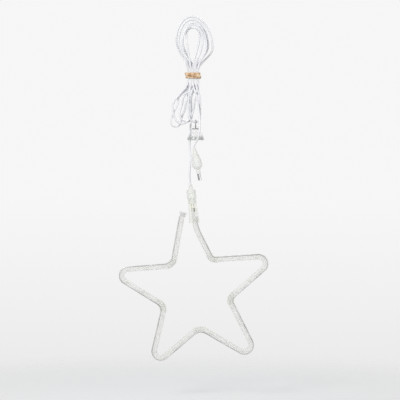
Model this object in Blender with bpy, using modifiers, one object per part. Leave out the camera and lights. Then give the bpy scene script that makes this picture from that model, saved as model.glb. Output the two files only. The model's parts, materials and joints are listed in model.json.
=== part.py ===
"""Star-shaped LED tube light that hangs from its own folded cord.

A clear tube with a chain of small lamps in it is bent to a five-pointed star by a steel wire that
lies along its outer side. The tube's two ends are the star's top point: one has an end cap, the
other goes up into a clear sleeve and a moulded connector. The cord leaves the connector, is folded
into a hank with a rubber band round its waist, and ends in a barrel plug. A suction cup hangs from
the hank's front fold on a wire hook that swings on the cord and lets the cup turn.

The origin is the point where the hank's innermost top arc rests on whatever holds it.
+Z is up, the star lies in the XZ plane and faces -Y. Sizes are in metres.
"""

import math

import bpy
import numpy as np
from mathutils import Matrix, Vector

MM = 0.001

# Star
STAR_CENTRE = Vector((5.8, 0.0, -418.6)) * MM
TUBE_DIAMETER = 7.0 * MM
TUBE_WALL = 0.9 * MM
SHAPING_WIRE_DIAMETER = 2.0 * MM
PIECE_GAP = 0.3 * MM
WIRE_TO_TUBE = TUBE_DIAMETER / 2 + SHAPING_WIRE_DIAMETER / 2 + PIECE_GAP
ARC_STEP = math.radians(14.5)
RIGHT_LEG_LEAN = math.radians(26.6)
RIGHT_LEG_BEND = 55.0 * MM

# Corners of the shaping wire from the left leg's top, round the star, to the right leg:
# name, x and z from the star's centre, bend radius, all in millimetres.
STAR_CORNERS = (
    ("left_leg_top", -26.1, 125.0, 0.0),
    ("upper_left_inner", -40.8, 43.2, 13.0),
    ("left_point", -152.8, 34.4, 13.8),
    ("left_inner", -55.2, -26.1, 11.8),
    ("lower_left_point", -81.0, -135.7, 14.2),
    ("bottom_inner", 4.9, -62.7, 15.8),
    ("lower_right_point", 111.0, -123.7, 14.6),
    ("right_inner", 56.0, -13.8, 7.6),
    ("right_point", 141.3, 60.5, 14.6),
    ("upper_right_inner", 26.2, 53.1, 5.6),
)

# Lamps and their two conductors, inside the tube
LAMP_COUNT = 30
LAMP_RADIUS = 1.1 * MM
LAMP_LENGTH = 4.4 * MM
FIRST_LAMP = 14.0 * MM
LAST_LAMP_FROM_END = 12.0 * MM
CONDUCTOR_RADIUS = 0.35 * MM
CONDUCTOR_OFFSET = 1.95 * MM
CONDUCTOR_START = 6.0 * MM
CONDUCTOR_BEYOND_TUBE = 3.0 * MM

# Clear sleeves that hold the wire to the tube at the five inner corners
CORNER_SLEEVE_LENGTH = 13.0 * MM
CORNER_SLEEVE_RADIUS = 5.85 * MM
CORNER_SLEEVE_WALL = 0.6 * MM

# End cap on the left leg
CAP_OVERLAP = 6.0 * MM
CAP_ROOF = 1.6 * MM
CAP_FLANGE_RADIUS = 6.4 * MM

# Connector at the top of the right leg, measured down its own axis from the cord's exit
CONNECTOR_EXIT = Vector((-4.2, 0.0, -248.5)) * MM
CONNECTOR_LEAN = math.radians(6.0)
CONNECTOR_BODY_TOP = 8.0 * MM
CONNECTOR_BODY_BOTTOM = 23.0 * MM
CONNECTOR_RADIUS = 7.7 * MM
SPIGOT_RADIUS = 5.9 * MM
SPIGOT_BOTTOM = 31.0 * MM
SLEEVE_BOTTOM = 62.0 * MM
SLEEVE_WALL = 0.8 * MM
PIN_RADIUS = 0.75 * MM
TUBE_END_DEPTH = 44.6 * MM

# Cord and hank
CORD_DIAMETER = 3.0 * MM
STRAND_PITCH = 4.1 * MM
STRAND_ROW = 2.2 * MM
WAIST_TOP = -66.0 * MM
HANK_END = -84.0 * MM
POINTS_PER_LOOP = 18
FINE_STEPS = 40
LEAST_FOLD_RADIUS = 9.3 * MM
STRAIGHT_SHARE = 4.0

# The five top arcs, inner to outer, in millimetres: waist place of the left and right strand in
# pitches, row of each (-1 front, 1 back), belly left and right, depth there, crest height, and how
# much lower the belly is on the right.
TOP_ARCS = (
    dict(left=(-1, -1), right=(0, -1), belly=(-10.5, 10.5), depth=(-1.6, -1.6), crest=1.8, sag=0.0),
    dict(left=(-2, -1), right=(1, -1), belly=(-17.4, 15.4), depth=(-5.6, -5.4), crest=6.6, sag=-5.0),
    dict(left=(0, 1), right=(2, -1), belly=(-16.6, 21.6), depth=(2.2, -1.3), crest=10.0, sag=7.0),
    dict(left=(-1, 1), right=(1, 1), belly=(-23.0, 24.4), depth=(5.5, 4.4), crest=15.6, sag=6.0),
    dict(left=(-2, 1), right=(2, 1), belly=(-26.9, 31.5), depth=(9.6, 8.4), crest=20.5, sag=12.0),
)
TOP_BELLY_HEIGHT = -24.0

# The four bottom folds: number 1 joins the right strand of arc 2 to the left strand of arc 1, and
# so on. Heights where the left and right strand leave the waist, the places that each strand
# passes on its way down, and how far the fold hangs below the last of them, in millimetres.
BOTTOM_FOLDS = (
    dict(
        starts=(-83.0, -83.0),
        left=((-7.2, -7.0, -116.0), (-7.2, -7.0, -138.0)),
        right=((11.4, -7.0, -116.0), (11.4, -7.0, -142.0)),
        drop=9.0,
    ),
    dict(
        starts=(-83.0, -97.0),
        left=((-32.6, -2.2, -124.8),),
        right=((2.5, -2.2, -116.0),),
        drop=31.0,
    ),
    dict(
        starts=(-87.5, -84.5),
        left=((-16.6, 2.5, -114.0), (-21.5, 2.2, -136.0)),
        right=((-3.0, 2.2, -112.0), (-2.0, 2.2, -140.0)),
        drop=9.8,
    ),
    dict(
        starts=(-87.0, -84.5),
        left=((-23.5, 1.2, -113.0), (-35.2, 1.4, -148.5)),
        right=((-12.0, 6.5, -122.0), (-19.0, 7.6, -147.0)),
        drop=8.2,
    ),
)

# Free stretches of the cord, in millimetres, from the hank down
CORD_TO_STAR = (
    (-8.2, 2.2, -84.3),
    (-8.2, 2.2, -87.9),
    (-9.0, 4.3, -91.3),
    (-9.7, 7.3, -95.5),
    (-9.0, 9.6, -101.0),
    (-7.2, 10.8, -109.0),
    (-5.2, 11.2, -119.0),
    (-4.1, 11.3, -133.0),
    (-3.9, 11.2, -147.0),
    (-4.0, 11.0, -160.0),
    (-4.7, 10.5, -172.0),
    (-5.4, 9.6, -183.0),
    (-4.7, 8.1, -195.0),
    (-4.1, 5.8, -207.0),
    (-4.9, 3.2, -220.0),
    (-5.4, 1.2, -231.0),
    (-4.98, 0.2, -241.0),
    (-4.4315, 0.0, -246.3),
    (-4.2314, 0.0, -248.2),
)
CORD_TO_PLUG = (
    (0.0, -2.2, -84.3),
    (0.0, -2.2, -87.9),
    (0.8, -4.2, -93.0),
    (2.6, -6.8, -98.5),
    (4.6, -8.4, -104.5),
    (6.6, -9.5, -112.0),
    (8.2, -10.6, -122.0),
    (9.5, -12.4, -133.0),
    (10.4, -15.4, -144.0),
    (10.7, -19.2, -154.0),
    (10.3, -22.2, -163.0),
    (9.1, -23.5, -171.0),
    (6.8, -23.2, -178.0),
    (3.9, -22.2, -183.7),
    (1.95, -21.2, -188.2),
    (2.148, -21.0, -191.705),
)
TAIL_POINTS = 44

# Rubber band: three turns round the waist
BAND_RADIUS = 1.0 * MM
BAND_RISE = 4.6 * MM
BAND_SWELL = 1.5 * MM
BAND_TURNS = 3
BAND_HEIGHT = -74.4 * MM
BAND_LEAN = -0.10
BAND_CORNER_POINTS = 5

# Barrel plug, measured down its own axis from the cord's exit
PLUG_EXIT = Vector((2.2, -21.0, -192.0)) * MM
PLUG_LEAN = math.radians(10.0)
PLUG_BOOT_LENGTH = 8.7 * MM
PLUG_NECK_BOTTOM = 40.0 * MM
PLUG_TIP = 51.0 * MM

# Suction cup and its hook
HOOK_WIRE_RADIUS = 0.8 * MM
HOOK_GAP = 0.45 * MM
HOOK_BEND_RADIUS = 3.5 * MM
HOOK_RING_RADIUS = 4.9 * MM
HOOK_RING_DEPTH = 13.0 * MM
CUP_RIM_RADIUS = 13.6 * MM
CUP_NECK_RADIUS = 3.7 * MM


for old_object in list(bpy.data.objects):
    bpy.data.objects.remove(old_object, do_unlink=True)

collection = bpy.data.collections.new("led_tube_star")
bpy.context.scene.collection.children.link(collection)


def make_material(name, colour, roughness, metallic=0.0, alpha=1.0):
    material = bpy.data.materials.new(name)
    material.use_nodes = True
    shader = material.node_tree.nodes["Principled BSDF"]
    shader.inputs["Base Color"].default_value = (*colour, 1.0)
    shader.inputs["Roughness"].default_value = roughness
    shader.inputs["Metallic"].default_value = metallic
    shader.inputs["Alpha"].default_value = alpha
    return material


CLEAR_PVC = make_material("clear_pvc", (0.86, 0.87, 0.82), 0.18, alpha=0.35)
MILKY_PVC = make_material("milky_pvc", (0.78, 0.79, 0.72), 0.35, alpha=0.8)
CORD_PVC = make_material("cord_pvc", (0.86, 0.86, 0.88), 0.32)
GALVANISED_WIRE = make_material("galvanised_wire", (0.42, 0.42, 0.41), 0.42, metallic=0.85)
STEEL_WIRE = make_material("steel_wire", (0.26, 0.26, 0.26), 0.35, metallic=0.9)
TINNED_COPPER = make_material("tinned_copper", (0.55, 0.42, 0.28), 0.35, metallic=0.9)
BRASS = make_material("brass", (0.66, 0.52, 0.22), 0.3, metallic=1.0)
NICKEL = make_material("nickel", (0.30, 0.30, 0.31), 0.25, metallic=1.0)
LAMP_LENS = make_material("lamp_lens", (0.90, 0.86, 0.66), 0.2)
BLACK_SHRINK = make_material("black_shrink", (0.03, 0.03, 0.03), 0.5)
BLACK_PLASTIC = make_material("black_plastic", (0.04, 0.04, 0.04), 0.45)
AMBER_RUBBER = make_material("amber_rubber", (0.62, 0.30, 0.06), 0.45)


def place(item, material, parent=None):
    """Link an object, give it its material and hang it on its frame."""
    collection.objects.link(item)
    if material is not None:
        item.data.materials.append(material)
    item.parent = parent
    return item


def make_frame(name, location, lean=0.0):
    """An empty at a piece's own reference point, leaning about Y."""
    frame = bpy.data.objects.new(name, None)
    frame.empty_display_size = 0.01
    frame.location = location
    frame.rotation_euler = (0.0, lean, 0.0)
    return place(frame, None)


def lean_of(direction):
    """Turn about Y that brings +Z onto a direction in the XZ plane."""
    return math.atan2(direction.x, direction.y)


def swept(name, points, radius, resolution, material, parent=None, wall=0.0, cyclic=False):
    """A round tube or wire along points; wall above zero leaves it hollow and open-ended."""
    curve = bpy.data.curves.new(name, "CURVE")
    curve.dimensions = "3D"
    curve.bevel_depth = radius
    curve.bevel_resolution = resolution
    curve.use_fill_caps = wall == 0.0
    spline = curve.splines.new("POLY")
    spline.points.add(len(points) - 1)
    for spline_point, point in zip(spline.points, points):
        spline_point.co = (*point, 1.0)
    spline.use_cyclic_u = cyclic
    spline.use_smooth = True
    item = place(bpy.data.objects.new(name, curve), material, parent)
    if wall > 0.0:
        shell = item.modifiers.new("wall", "SOLIDIFY")
        shell.thickness = wall
        shell.offset = -1.0
    return item


def turned(name, profile, steps, material, parent=None, offset=(0.0, 0.0, 0.0), mesh=None):
    """A turned piece. The profile is radius and depth in metres, down the outer side."""
    if mesh is None:
        closed = profile[0][0] > 0.0
        mesh = bpy.data.meshes.new(name)
        verts = [(radius, 0.0, -depth) for radius, depth in profile]
        edges = [(index, index + 1) for index in range(len(verts) - 1)]
        if closed:
            edges.append((len(verts) - 1, 0))
        mesh.from_pydata(verts, edges, [])
    item = bpy.data.objects.new(name, mesh)
    collection.objects.link(item)
    if not mesh.materials:
        mesh.materials.append(material)
    item.parent = parent
    item.location = offset
    screw = item.modifiers.new("turn", "SCREW")
    screw.axis = "Z"
    screw.steps = steps
    screw.render_steps = steps
    screw.use_merge_vertices = True
    screw.merge_threshold = 0.00001
    screw.use_smooth_shade = True
    return item


def in_mm(profile):
    return [(radius * MM, depth * MM) for radius, depth in profile]


# Star outline

def left_of(direction):
    """The inward side of the star, a quarter turn anticlockwise of the way along it."""
    return Vector((-direction.y, direction.x))


def meeting_point(point_a, along_a, point_b, along_b):
    """Where two lines in the XZ plane meet."""
    across = along_a.x * along_b.y - along_a.y * along_b.x
    step = point_b - point_a
    return point_a + along_a * ((step.x * along_b.y - step.y * along_b.x) / across)


def rounded_route(corners, radii):
    """Points and directions along straight runs joined by arcs."""
    route = [(corners[0], (corners[1] - corners[0]).normalized())]
    for before, corner, after, radius in zip(corners, corners[1:], corners[2:], radii[1:]):
        arrive = (corner - before).normalized()
        leave = (after - corner).normalized()
        turn = math.atan2(arrive.x * leave.y - arrive.y * leave.x, arrive.dot(leave))
        start = corner - arrive * radius * math.tan(abs(turn) / 2)
        centre = start + left_of(arrive) * math.copysign(radius, turn)
        steps = max(2, math.ceil(abs(turn) / ARC_STEP))
        for index in range(steps + 1):
            swing = Matrix.Rotation(turn * index / steps, 2)
            route.append((centre + swing @ (start - centre), swing @ arrive))
    route.append((corners[-1], (corners[-1] - corners[-2]).normalized()))
    return route


def shifted(route, inward):
    """The route moved to the star's inner side, in the star's frame."""
    moved = [point + left_of(direction) * inward for point, direction in route]
    return [Vector((point.x, 0.0, point.y)) for point in moved]


def trimmed(points, start, end):
    """Shorten the first and last straight run; a negative value lengthens it."""
    points = [point.copy() for point in points]
    points[0] += (points[1] - points[0]).normalized() * start
    points[-1] += (points[-2] - points[-1]).normalized() * end
    return points


def station(route, distance):
    """Point and direction at a distance along the route."""
    for (point, direction), (following, next_direction) in zip(route, route[1:]):
        run = (following - point).length
        if distance <= run:
            share = distance / run
            return point.lerp(following, share), direction.lerp(next_direction, share).normalized()
        distance -= run
    return route[-1]


def route_length(points):
    return sum((after - before).length for before, after in zip(points, points[1:]))


connector_down = Vector((math.sin(CONNECTOR_LEAN), -math.cos(CONNECTOR_LEAN)))
connector_exit = Vector((CONNECTOR_EXIT.x, CONNECTOR_EXIT.z))
star_centre = Vector((STAR_CENTRE.x, STAR_CENTRE.z))
tube_end = connector_exit + connector_down * TUBE_END_DEPTH - star_centre
wire_line_end = tube_end - left_of(-connector_down) * WIRE_TO_TUBE

star_corners = [Vector((x, z)) * MM for _, x, z, _ in STAR_CORNERS]
star_radii = [radius * MM for _, _, _, radius in STAR_CORNERS]
right_leg_up = Vector((-math.sin(RIGHT_LEG_LEAN), math.cos(RIGHT_LEG_LEAN)))
star_corners.append(meeting_point(star_corners[-1], right_leg_up, wire_line_end, connector_down))
star_radii.append(RIGHT_LEG_BEND)
star_corners.append(wire_line_end)
star_radii.append(0.0)

wire_route = rounded_route(star_corners, star_radii)
tube_points = shifted(wire_route, WIRE_TO_TUBE)
tube_route = [
    (Vector((point.x, point.z)), direction) for point, (_, direction) in zip(tube_points, wire_route)
]
tube_length = route_length(tube_points)

star_frame = make_frame("star_frame", STAR_CENTRE)
swept("star_tube", tube_points, TUBE_DIAMETER / 2, 3, CLEAR_PVC, star_frame, wall=TUBE_WALL)
swept(
    "shaping_wire",
    trimmed(shifted(wire_route, 0.0), CAP_OVERLAP + 0.5 * MM, 8.0 * MM),
    SHAPING_WIRE_DIAMETER / 2,
    1,
    GALVANISED_WIRE,
    star_frame,
)
for number, side in ((1, 1.0), (2, -1.0)):
    line = shifted(wire_route, WIRE_TO_TUBE + side * CONDUCTOR_OFFSET)
    line = trimmed(line, CONDUCTOR_START, -CONDUCTOR_BEYOND_TUBE)
    swept(f"conductor_{number}", line, CONDUCTOR_RADIUS, 1, TINNED_COPPER, star_frame)


def add_lamps():
    """A lamp every pitch along the middle of the tube, each a small round-nosed cylinder."""
    nose = LAMP_LENGTH / 2
    profile = [
        (0.0, -nose),
        (0.7 * LAMP_RADIUS, -nose + 0.5 * MM),
        (LAMP_RADIUS, -nose + 1.3 * MM),
        (LAMP_RADIUS, nose),
        (0.0, nose),
    ]
    span = tube_length - FIRST_LAMP - LAST_LAMP_FROM_END
    shared = None
    for index in range(LAMP_COUNT):
        distance = FIRST_LAMP + span * index / (LAMP_COUNT - 1)
        point, direction = station(tube_route, distance)
        place_at = (point.x, 0.0, point.y)
        name = f"lamp_{index + 1:02d}"
        lamp = turned(name, profile, 8, LAMP_LENS, star_frame, place_at, mesh=shared)
        lamp.rotation_euler = (0.0, lean_of(direction), 0.0)
        shared = lamp.data
    print("lamp pitch (mm):", round(span / (LAMP_COUNT - 1) / MM, 2))


def add_corner_sleeves():
    """A short clear sleeve round tube and wire at each inner corner, bent with them."""
    middle = WIRE_TO_TUBE / 2 + (TUBE_DIAMETER - SHAPING_WIRE_DIAMETER) / 4
    number = 0
    for (name, _, _, _), corner in zip(STAR_CORNERS, star_corners):
        if not name.endswith("inner"):
            continue
        number += 1
        distances = []
        travelled = 0.0
        for (point, _), (following, _) in zip(wire_route, wire_route[1:]):
            distances.append(((point - corner).length, travelled))
            travelled += (following - point).length
        centre = min(distances)[1]
        spread = [centre + CORNER_SLEEVE_LENGTH * (share / 6 - 0.5) for share in range(7)]
        stations = [station(wire_route, distance) for distance in spread]
        points = shifted(stations, middle)
        swept(
            f"corner_sleeve_{number}",
            points,
            CORNER_SLEEVE_RADIUS,
            4,
            CLEAR_PVC,
            star_frame,
            wall=CORNER_SLEEVE_WALL,
        )


add_lamps()
add_corner_sleeves()


def add_end_cap():
    """Clear cap over the tube's blind end, with a flange a person can pull."""
    bore = TUBE_DIAMETER / 2 + PIECE_GAP
    profile = [
        (0.0, -CAP_ROOF - PIECE_GAP),
        (5.4 * MM, -CAP_ROOF - PIECE_GAP),
        (CAP_FLANGE_RADIUS, -1.1 * MM),
        (CAP_FLANGE_RADIUS, 0.4 * MM),
        (5.6 * MM, 1.6 * MM),
        (5.0 * MM, 4.0 * MM),
        (bore + 0.9 * MM, CAP_OVERLAP),
        (bore, CAP_OVERLAP),
        (bore, -PIECE_GAP),
        (0.0, -PIECE_GAP),
    ]
    point, direction = tube_route[0]
    cap = turned("tube_end_cap", profile, 20, CLEAR_PVC, star_frame, (point.x, 0.0, point.y))
    cap.rotation_euler = (0.0, lean_of(-direction), 0.0)


add_end_cap()


# Connector at the top of the right leg

connector_frame = make_frame("connector_frame", CONNECTOR_EXIT, -CONNECTOR_LEAN)


def ribbed_boot(length, top_radius, bottom_radius, ribs):
    """Profile of a tapered strain relief with ring grooves, from the cord's end down."""
    profile = [(0.0, 0.0), (top_radius, 0.0)]
    pitch = length / (ribs + 1)
    for rib in range(ribs):
        for share, inset in ((0.55, 0.0), (0.65, 0.5 * MM), (0.9, 0.5 * MM), (1.0, 0.0)):
            depth = (rib + share) * pitch
            radius = top_radius + (bottom_radius - top_radius) * depth / length
            profile.append((radius - inset, depth))
    profile += [(bottom_radius, length), (0.0, length)]
    return profile


def add_connector():
    turned(
        "connector_strain_relief",
        ribbed_boot(CONNECTOR_BODY_TOP - PIECE_GAP, 2.7 * MM, 3.7 * MM, 2),
        16,
        MILKY_PVC,
        connector_frame,
    )
    top = CONNECTOR_BODY_TOP
    bottom = CONNECTOR_BODY_BOTTOM
    body = [
        (0.0, top),
        (4.6 * MM, top),
        (6.6 * MM, top + 0.9 * MM),
        (CONNECTOR_RADIUS, top + 3.0 * MM),
        (CONNECTOR_RADIUS, top + 6.4 * MM),
        (CONNECTOR_RADIUS - 0.6 * MM, top + 6.9 * MM),
        (CONNECTOR_RADIUS - 0.6 * MM, top + 7.9 * MM),
        (CONNECTOR_RADIUS, top + 8.4 * MM),
        (CONNECTOR_RADIUS, bottom - 0.8 * MM),
        (CONNECTOR_RADIUS - 0.7 * MM, bottom),
        (SPIGOT_RADIUS, bottom),
        (SPIGOT_RADIUS, SPIGOT_BOTTOM - 0.6 * MM),
        (SPIGOT_RADIUS - 0.6 * MM, SPIGOT_BOTTOM),
        (0.0, SPIGOT_BOTTOM),
    ]
    turned("connector_body", body, 24, MILKY_PVC, connector_frame)
    sleeve_top = bottom + PIECE_GAP
    outer = [
        (7.1 * MM, sleeve_top),
        (7.2 * MM, sleeve_top + 14.0 * MM),
        (7.9 * MM, sleeve_top + 24.0 * MM),
        (8.6 * MM, SLEEVE_BOTTOM - 4.0 * MM),
        (8.9 * MM, SLEEVE_BOTTOM),
    ]
    inner = [(radius - SLEEVE_WALL, depth) for radius, depth in reversed(outer)]
    turned("clear_sleeve", outer + inner, 24, CLEAR_PVC, connector_frame)
    pin_top = SPIGOT_BOTTOM + PIECE_GAP
    pin_bottom = TUBE_END_DEPTH - CONDUCTOR_BEYOND_TUBE - PIECE_GAP
    pin = [
        (0.0, pin_top),
        (PIN_RADIUS, pin_top),
        (PIN_RADIUS, pin_bottom - 0.4 * MM),
        (PIN_RADIUS - 0.3 * MM, pin_bottom),
        (0.0, pin_bottom),
    ]
    seal = [
        (1.5 * MM, pin_bottom - 3.0 * MM),
        (1.5 * MM, TUBE_END_DEPTH - 0.5 * MM),
        (1.1 * MM, TUBE_END_DEPTH - 0.5 * MM),
        (1.1 * MM, pin_bottom - 3.0 * MM),
    ]
    for number, side in ((1, -1.0), (2, 1.0)):
        beside = (side * CONDUCTOR_OFFSET, 0.0, 0.0)
        turned(f"contact_pin_{number}", pin, 12, BRASS, connector_frame, beside)
        shrink = BLACK_SHRINK if number == 2 else MILKY_PVC
        turned(f"lead_seal_{number}", seal, 12, shrink, connector_frame, beside)


add_connector()


# Hank

def ease(share):
    return (1.0 - math.cos(math.pi * share)) / 2


def strand(places):
    """A strand's way along places that it passes upright; leaving the waist, depth changes first."""
    points = []
    pace = 2.0
    for start, end in zip(places, places[1:]):
        for step in range(FINE_STEPS):
            share = step / FINE_STEPS
            out = ease(share)
            away = ease(min(1.0, pace * share))
            points.append((
                start[0] + (end[0] - start[0]) * out,
                start[1] + (end[1] - start[1]) * away,
                start[2] + (end[2] - start[2]) * share,
            ))
        pace = 1.0
    return points


def waist_place(place_in_waist, height):
    pitches, row = place_in_waist
    return (pitches * STRAND_PITCH / MM, row * STRAND_ROW / MM, height)


def bow(left, right, rise):
    """Half an oval between the ends of two strands; rise is negative for a hanging fold."""
    points = []
    for step in range(FINE_STEPS + 1):
        angle = math.pi * step / FINE_STEPS
        toward_right = (1.0 - math.cos(angle)) / 2
        place_at = [start + (end - start) * toward_right for start, end in zip(left, right)]
        place_at[2] += rise * math.sin(angle)
        points.append(tuple(place_at))
    return points


def top_arc(arc):
    """One arc over the support, from its left strand at the waist to its right one."""
    half = (arc["belly"][1] - arc["belly"][0]) / 2
    rise = min(arc["crest"] - TOP_BELLY_HEIGHT, half * half / (LEAST_FOLD_RADIUS / MM))
    shoulder = arc["crest"] - rise
    left = (arc["belly"][0], arc["depth"][0], shoulder + arc["sag"] / 2)
    right = (arc["belly"][1], arc["depth"][1], shoulder - arc["sag"] / 2)
    going_up = strand((waist_place(arc["left"], WAIST_TOP / MM), left))
    coming_down = strand((waist_place(arc["right"], WAIST_TOP / MM), right))
    return going_up + bow(left, right, rise) + coming_down[::-1]


def bottom_fold(fold, outer_arc, inner_arc):
    """One hanging fold, from an arc's right strand to the next inner arc's left strand."""
    left_waist = waist_place(inner_arc["left"], fold["starts"][0])
    right_waist = waist_place(outer_arc["right"], fold["starts"][1])
    going_down = strand((right_waist, *fold["right"]))
    coming_up = strand((left_waist, *fold["left"]))
    hanging = bow(fold["right"][-1], fold["left"][-1], -fold["drop"])
    return going_down + hanging + coming_up[::-1]


def hank_route():
    """The whole hank, from the outer arc's left strand to the inner arc's right strand."""
    points = [waist_place(TOP_ARCS[-1]["left"], HANK_END / MM)]
    for number in range(len(TOP_ARCS) - 1, -1, -1):
        points += top_arc(TOP_ARCS[number])
        if number > 0:
            points += bottom_fold(BOTTOM_FOLDS[number - 1], TOP_ARCS[number], TOP_ARCS[number - 1])
    points.append(waist_place(TOP_ARCS[0]["right"], HANK_END / MM))
    return [Vector(point) * MM for point in points]


def without_repeats(points):
    kept = [points[0]]
    for point in points[1:]:
        if (point - kept[-1]).length > 0.01 * MM:
            kept.append(point)
    return kept


def thinned(points, count):
    """Fewer points, closer together where the route bends, so that chords stay near the curve."""
    weights = [0.0]
    turns = [0.0]
    for before, point, after in zip(points, points[1:], points[2:]):
        turns.append((point - before).angle(after - point))
    turns.append(0.0)
    for index, (before, after) in enumerate(zip(points, points[1:])):
        run = (after - before).length
        bend = (turns[index] + turns[index + 1]) / (2 * run)
        weights.append(weights[-1] + run * math.sqrt(bend + STRAIGHT_SHARE))
    chosen = []
    for step in range(count):
        target = weights[-1] * step / (count - 1)
        index = int(np.searchsorted(weights, target))
        index = min(max(index, 1), len(points) - 1)
        span = weights[index] - weights[index - 1]
        share = 0.0 if span == 0.0 else (target - weights[index - 1]) / span
        chosen.append(points[index - 1].lerp(points[index], min(max(share, 0.0), 1.0)))
    return chosen


def least_gap(points, diameter, near, closed=False):
    """Smallest clear space between stretches of one tube that are more than near apart."""
    if closed:
        points = points + points[:1]
    dense = []
    for before, after in zip(points, points[1:]):
        pieces = max(1, math.ceil((after - before).length / (1.0 * MM)))
        dense += [before.lerp(after, piece / pieces) for piece in range(pieces)]
    dense.append(points[-1])
    places = np.array(dense)
    steps = np.linalg.norm(np.diff(places, axis=0), axis=1)
    along = np.concatenate(([0.0], np.cumsum(steps)))
    smallest = math.inf
    for index in range(len(places)):
        apart = along - along[index]
        if closed:
            apart = np.minimum(apart, along[-1] - apart)
        far = apart > near
        if far.any():
            gaps = np.linalg.norm(places[far] - places[index], axis=1)
            smallest = min(smallest, float(gaps.min()))
    return smallest - diameter


def tightest_bend(points):
    """Smallest radius through three neighbouring points."""
    smallest = math.inf
    for before, point, after in zip(points, points[1:], points[2:]):
        side_a = (point - before).length
        side_b = (after - point).length
        side_c = (after - before).length
        area = (point - before).cross(after - before).length / 2
        if area > 1e-12:
            smallest = min(smallest, side_a * side_b * side_c / (4 * area))
    return smallest


def smooth_route(points, count):
    """Evenly spaced points on a smooth curve through the given ones."""
    route = [Vector(point) * MM for point in points]
    ends = [route[0] * 2 - route[1]] + route + [route[-1] * 2 - route[-2]]
    fine = []
    for before, start, end, after in zip(ends, ends[1:], ends[2:], ends[3:]):
        for step in range(16):
            share = step / 16
            pull_start = (end - before) / 2
            pull_end = (after - start) / 2
            square = share * share
            cube = square * share
            fine.append(
                start * (2 * cube - 3 * square + 1)
                + pull_start * (cube - 2 * square + share)
                + end * (3 * square - 2 * cube)
                + pull_end * (cube - square)
            )
    fine.append(route[-1])
    lengths = [0.0]
    for before, after in zip(fine, fine[1:]):
        lengths.append(lengths[-1] + (after - before).length)
    even = []
    for step in range(count):
        target = lengths[-1] * step / (count - 1)
        index = min(max(int(np.searchsorted(lengths, target)), 1), len(fine) - 1)
        share = (target - lengths[index - 1]) / (lengths[index] - lengths[index - 1])
        even.append(fine[index - 1].lerp(fine[index], share))
    return even


fine_hank = without_repeats(hank_route())
loops = len(TOP_ARCS) + len(BOTTOM_FOLDS)
hank_points = thinned(fine_hank, loops * POINTS_PER_LOOP)
swept("cord_hank", hank_points, CORD_DIAMETER / 2, 1, CORD_PVC)
hank_gap = least_gap(hank_points, CORD_DIAMETER, 8 * CORD_DIAMETER)
print("hank length (mm):", round(route_length(fine_hank) / MM, 1))
print("hank least gap to itself (mm):", round(hank_gap / MM, 2))
print("hank tightest bend (mm):", round(tightest_bend(fine_hank) / MM, 2))

for name, route in (("cord_to_star", CORD_TO_STAR), ("cord_to_plug", CORD_TO_PLUG)):
    tail = smooth_route(route, TAIL_POINTS)
    swept(name, tail, CORD_DIAMETER / 2, 2, CORD_PVC)
    print(name, "length (mm):", round(route_length(tail) / MM, 1))
    print(name, "tightest bend (mm):", round(tightest_bend(tail) / MM, 2))


# Rubber band

def band_route():
    """Three turns of one closed ring round the waist's ten strands."""
    corner_x = 2 * STRAND_PITCH
    corner_y = STRAND_ROW
    corner = CORD_DIAMETER / 2 + PIECE_GAP + BAND_RADIUS + BAND_SWELL
    outline = []
    for quarter, (x, y) in enumerate(((1, 1), (-1, 1), (-1, -1), (1, -1))):
        for step in range(BAND_CORNER_POINTS):
            angle = math.pi / 2 * (quarter + step / (BAND_CORNER_POINTS - 1))
            outward = Vector((math.cos(angle), math.sin(angle), 0.0))
            centre = Vector((x * corner_x, y * corner_y, 0.0))
            outline.append((centre + outward * corner, outward))
    runs = [
        (outline[(index + 1) % len(outline)][0] - point).length
        for index, (point, _) in enumerate(outline)
    ]
    points = []
    travelled = 0.0
    for _ in range(BAND_TURNS):
        for (point, outward), run in zip(outline, runs):
            phase = 2 * math.pi * travelled / (BAND_TURNS * sum(runs))
            place_at = point + outward * BAND_SWELL * math.sin(phase)
            place_at.z = BAND_HEIGHT + BAND_RISE * math.cos(phase) + BAND_LEAN * place_at.x
            points.append(place_at)
            travelled += run
    return points


band_points = band_route()
swept("rubber_band", band_points, BAND_RADIUS, 1, AMBER_RUBBER, cyclic=True)
band_gap = least_gap(band_points, 2 * BAND_RADIUS, 10 * BAND_RADIUS, closed=True)
print("rubber band least gap to itself (mm):", round(band_gap / MM, 2))


# Barrel plug

plug_frame = make_frame("plug_frame", PLUG_EXIT, -PLUG_LEAN)


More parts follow.
